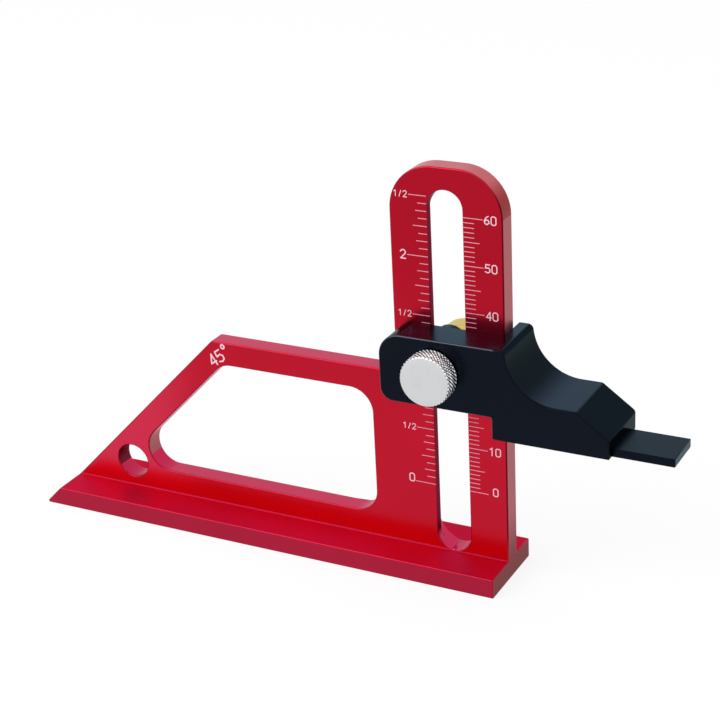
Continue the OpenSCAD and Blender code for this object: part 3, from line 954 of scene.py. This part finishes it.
@dataclass
class Clamp:
    """Knurled head with its threaded stud, washer and round nut.

    Radii, ends and the axis come from the nodes' boxes; the rest is named here.
    """

    chamfer: float = 0.35 * MM
    head_edge: float = 0.04 * MM
    knurl_count: int = 40
    knurl_rows: int = 33
    knurl_depth: float = 0.26 * MM
    knurl_pitch: float = 0.86 * MM
    ridge_cols: int = 8
    stud_cols: int = 48
    stud_root: float = 1.58 * MM
    pitch: float = 0.7 * MM
    pitch_rows: int = 12
    plain: float = 0.8 * MM
    shoulder: float = 0.05 * MM
    vee_top: float = 1.15
    vee_slope: float = 2.6
    washer_cols: int = 96
    washer_edge: float = 0.08 * MM
    washer_play: float = 0.2 * MM
    bore_play: float = 0.05 * MM
    nut_cols: int = 120
    nut_edge: float = 0.12 * MM
    nut_half_flats: float = 5.1 * MM
    nut_shoulder: float = 4.6 * MM
    nut_chamfer: float = 0.6 * MM
    mouth_front: float = 0.2 * MM
    mouth_back: float = 0.35 * MM

    @property
    def axis_z(self) -> float:
        """Height of the clamp's axis."""
        return float(clamp_axis()[2])

    def build(self) -> None:
        """Makes the four pieces and seats each on its body."""
        axis_z = self.axis_z
        bright = Knurled("knurled_steel", (0.655, 0.66, 0.675), 0.26, axis_z, ring_um=0.25)
        thread = Turned("stud_steel", (0.60, 0.61, 0.62), 0.3, axis_z)
        brass = Turned("turned_brass", (0.65, 0.485, 0.115), 0.3, axis_z,
                       stain=(0.40, 0.27, 0.07))
        nylon = Moulded("washer_nylon", (0.02, 0.02, 0.022), 0.55)
        for maker, node, body, finish in ((self.head, "knob_head", "knob", bright),
                                          (self.stud, "knob_stud", "knob", thread),
                                          (self.washer, "knob_washer", "slider", nylon),
                                          (self.nut, "clamp_nut", "nut", brass)):
            name, (low, high) = node + "_turned", node_box(node)
            piece = new_piece(name, maker(name, node_radius(node), low[1], high[1]))
            piece.data.materials.append(finish.material(finish.slot))
            settle(piece, body, node)

    def head(self, name: str, r: float, front: float, back: float) -> bpy.types.Mesh:
        """Head with a diamond knurl.

        Two families of V grooves cross on the rim. With the families' phases
        u, v = n angle / 2 pi +- y / pitch and ridge(t) = 2 min(frac t, 1 - frac t), the
        radius falls by depth times (1 - min(ridge u, ridge v)), which leaves pyramids.
        The profile runs from the front's pole round the rim to the bottom of the stud's
        blind bore. The fall's share is kept in the attribute groove.

        Args:
            name: name of the mesh.
            r: radius of the head.
            front: Y of the front face.
            back: Y of the back face.

        Returns:
            The closed mesh.
        """
        angles = circle(self.knurl_count * self.ridge_cols)
        stud_r, stud_front = node_radius("knob_stud"), node_box("knob_stud")[0][1]
        c, e = self.chamfer, self.head_edge
        band = np.linspace(front + c, back - e, self.knurl_rows)
        ends = [(q * r, front) for q in (0.0, 0.35, 0.7)]
        rim = [(r - c - e, front), (r - c + e, front + e), (r - e, front + c - e)]
        bore = [(r - self.knurl_depth - e, back), (stud_r, back), (stud_r, stud_front),
                (0.0, stud_front)]
        profile = np.array(ends + rim + [(r, y) for y in band] + bore)
        knurled = np.zeros(len(profile))
        start = len(ends) + len(rim)
        knurled[start - 1:start + len(band)] = 1.0
        turns = angles[None, :] * self.knurl_count / (2 * np.pi)
        along = profile[:, 1:2] / self.knurl_pitch
        ridge = [2 * np.minimum(t % 1.0, 1 - t % 1.0) for t in (turns + along, turns - along)]
        groove = knurled[:, None] * (1 - np.minimum(*ridge))
        return turned_surface(name, angles, profile[:, :1] - self.knurl_depth * groove,
                              profile[:, 1:], self.axis_z, groove)

    def stud(self, name: str, r: float, front: float, back: float) -> bpy.types.Mesh:
        """Stud with a right-hand helical thread.

        With phase t = frac(y / pitch - angle / 2 pi), the radius is the root's plus the
        thread's height times a V with a flat crest and root, which is vee_top less
        vee_slope times |t - 0.5|, kept from 0 to 1. The V fades in behind the slider's
        bore, and fades out over the last half turn.

        Args:
            name: name of the mesh.
            r: crest radius.
            front: Y of the end in the head.
            back: Y of the free end.

        Returns:
            The closed mesh.
        """
        angles = circle(self.stud_cols)
        start = node_box("knob_head")[1][1] + self.plain
        rows = int((back - start) / self.pitch * self.pitch_rows)
        y = np.linspace(start, back, rows)[:, None]
        phase = (y / self.pitch - angles[None, :] / (2 * np.pi)) % 1.0
        vee = np.clip(self.vee_top - self.vee_slope * np.abs(phase - 0.5), 0.0, 1.0)
        fade = np.clip(np.minimum(y - start, back - y) / (0.5 * self.pitch), 0, 1)
        radius = self.stud_root + (r - self.stud_root) * np.where(
            y < 0, 1 - fade * (1 - vee), fade * vee)
        shank = np.full((1, self.stud_cols), r)
        radius = np.concatenate([0 * shank, shank, shank, radius, 0 * shank])
        depth = np.concatenate([[[front]], [[front]], [[start - self.shoulder]], y, [[back]]])
        return turned_surface(name, angles, radius, depth, self.axis_z)

    def washer(self, name: str, r: float, front: float, back: float) -> bpy.types.Mesh:
        """Flat ring with rounded rims: the profile is a loop of eight points.

        Args:
            name: name of the mesh.
            r: outer radius.
            front: Y of the front face.
            back: Y of the back face.

        Returns:
            The closed mesh.
        """
        bore, e = node_radius("knob_stud") + self.washer_play, self.washer_edge
        loop = np.array([(bore, front + e), (bore + e, front), (r - e, front), (r, front + e),
                         (r, back - e), (r - e, back), (bore + e, back), (bore, back - e)])
        return turned_surface(name, circle(self.washer_cols), loop[:, :1], loop[:, 1:],
                              self.axis_z)

    def nut(self, name: str, r: float, front: float, back: float) -> bpy.types.Mesh:
        """Round nut whose front part has two flats.

        The front's radius at an angle is min(R, w / |cos angle|), where w is half the
        width across the flats. Columns lie also at the corners of the flats.

        Args:
            name: name of the mesh.
            r: radius of the nut.
            front: Y of the front face.
            back: Y of the back face.

        Returns:
            The closed mesh.
        """
        corner = math.acos(self.nut_half_flats / r)
        corners = np.array([corner, np.pi - corner, np.pi + corner, 2 * np.pi - corner])
        angles = np.unique(np.concatenate([circle(self.nut_cols), corners]))
        flat = np.minimum(r, self.nut_half_flats / np.maximum(np.abs(np.cos(angles)), 1e-9))
        bore, full = node_radius("knob_stud") + self.bore_play, np.full_like(angles, r)
        e, c, shoulder = self.nut_edge, self.nut_chamfer, self.nut_shoulder
        rows = [(bore + self.mouth_front, front), (flat - e, front), (flat, front + e),
                (flat, shoulder), (full - e, shoulder), (full, shoulder + e),
                (full, back - c), (full - c, back), (bore + self.mouth_back, back),
                (bore, back - self.mouth_back), (bore, front + self.mouth_front)]
        radius = np.array([np.broadcast_to(q, angles.shape) for q, _ in rows])
        return turned_surface(name, angles, radius, np.array([[y] for _, y in rows]), self.axis_z)


# The studio


def direction(azimuth_deg: float, elevation_deg: float) -> Vector:
    """Unit vector towards a viewpoint: (sin a cos e, -cos a cos e, sin e).

    Args:
        azimuth_deg: angle a in the floor's plane, from the front towards +X.
        elevation_deg: angle e over the floor.

    Returns:
        The vector.
    """
    a, e = math.radians(azimuth_deg), math.radians(elevation_deg)
    return Vector((math.sin(a) * math.cos(e), -math.cos(a) * math.cos(e), math.sin(e)))


@dataclass
class Softbox:
    """A square lamp that looks at a point."""

    name: str
    azimuth_deg: float
    elevation_deg: float
    distance: float
    size: float
    radiance: float
    target: Triple = (-0.03, 0.0, 0.03)

    def build(self) -> None:
        """Hangs the lamp; its power gives the radiance over its square."""
        away = direction(self.azimuth_deg, self.elevation_deg)
        data = bpy.data.lights.new(self.name, "AREA")
        data.shape, data.size = "SQUARE", self.size
        data.energy = self.radiance * self.size ** 2 * math.pi
        lamp = bpy.data.objects.new(self.name, data)
        lamp.location = Vector(self.target) + away * self.distance
        lamp.rotation_euler = away.to_track_quat("Z", "Y").to_euler()
        bpy.context.scene.collection.objects.link(lamp)


@dataclass
class View:
    """The photograph's view, as the camera that was fitted to it gives it."""

    azimuth_deg: float = 28.523
    elevation_deg: float = 23.578
    roll_deg: float = -3.029
    focal_px: float = 1816.092
    picture_px: float = 720.0
    sensor_mm: float = 36.0
    place: Triple = (0.144905, -0.304041, 0.196304)
    shift: float = 0.1 * MM
    clip: Span = (0.01, 20.0)

    def build(self) -> None:
        """Stands the camera at its place, a little shifted in its own plane, and rolls it."""
        back = direction(self.azimuth_deg, self.elevation_deg)
        roll = math.radians(self.roll_deg)
        right = (-back).cross(Vector((0, 0, 1))).normalized()
        up = right.cross(-back)
        tilted_right = right * math.cos(roll) + up * math.sin(roll)
        tilted_up = up * math.cos(roll) - right * math.sin(roll)
        data = bpy.data.cameras.new("camera")
        data.sensor_width = self.sensor_mm
        data.lens = self.focal_px / self.picture_px * self.sensor_mm
        data.clip_start, data.clip_end = self.clip
        camera = bpy.data.objects.new("camera", data)
        turn = Matrix((tilted_right, tilted_up, back)).transposed()
        place = Vector(self.place) + (tilted_up - tilted_right) * self.shift
        camera.matrix_world = Matrix.Translation(place) @ turn.to_4x4()
        bpy.context.scene.collection.objects.link(camera)
        bpy.context.scene.camera = camera


@dataclass
class Studio:
    """Pale floor, white surroundings, soft lamps and the camera.

    floor_white is the share of plain white in the floor on rays that show it, so that
    its shadows stay pale. room is the surroundings' strength on rays that only light the
    scene.
    """

    floor_side: float = 3.0
    floor_white: float = 0.85
    floor_paint: Triple = (0.95, 0.95, 0.95)
    room: float = 0.85
    lamps: tuple[Softbox, ...] = (
        Softbox("key", -37, 40, 0.9, 0.66, 3.0),
        Softbox("fill", 70, 50, 1.1, 0.6, 0.8),
    )
    view: View = field(default_factory=View)

    def shown(self, graph: Graph) -> Value:
        """Which rays show surroundings and floor instead of only lighting the scene by them.

        Args:
            graph: graph of the floor or of the world.

        Returns:
            1 on rays from the camera, and on mirrored and refracted ones; otherwise 0.
        """
        camera, glossy, through = (
            graph.add("ShaderNodeLightPath", output=name)
            for name in ("Is Camera Ray", "Is Glossy Ray", "Is Transmission Ray"))
        return camera.larger(glossy).larger(through)

    def build(self) -> None:
        """Builds floor, surroundings, lamps and camera."""
        self.floor()
        self.surroundings()
        for lamp in self.lamps:
            lamp.build()
        self.view.build()
        bpy.context.scene.view_settings.view_transform = "Standard"

    def floor(self) -> None:
        """A square at height 0, partly plain white where it is shown."""
        side, z = self.floor_side, 0.0
        mesh = bpy.data.meshes.new("floor")
        mesh.from_pydata([(-side, -side, z), (side, -side, z), (side, side, z), (-side, side, z)],
                         [], [(0, 1, 2, 3)])
        floor = bpy.data.objects.new("floor", mesh)
        bpy.context.scene.collection.objects.link(floor)
        paint = bpy.data.materials.new("pale_floor")
        paint.use_nodes = True
        graph = Graph(paint.node_tree)
        matt = graph.add("ShaderNodeBsdfDiffuse", None, {"Color": rgba(self.floor_paint)})
        white = graph.add("ShaderNodeEmission", None, {"Color": rgba(WHITE), "Strength": 1.0})
        graph.finish(graph.add("ShaderNodeMixShader", None, {
            0: self.shown(graph) * self.floor_white, 1: matt, 2: white}))
        mesh.materials.append(paint)

    def surroundings(self) -> None:
        """White all round, and a little weaker on rays that only light the scene."""
        world = bpy.data.worlds.new("white_room")
        world.use_nodes = True
        sky = Graph(world.node_tree)
        sky.finish(sky.add("ShaderNodeBackground", None, {
            "Color": rgba(WHITE),
            "Strength": self.shown(sky) * (1 - self.room) + self.room}),
            "ShaderNodeOutputWorld")
        bpy.context.scene.world = world


def main() -> None:
    """Builds the gauge and its studio."""
    logging.basicConfig(level=logging.INFO, format="%(name)s: %(message)s")
    Studio().build()
    Body().build()
    Scales().build()
    Slider().build()
    Clamp().build()
    bpy.context.view_layer.update()


if __name__ == "__main__":
    main()
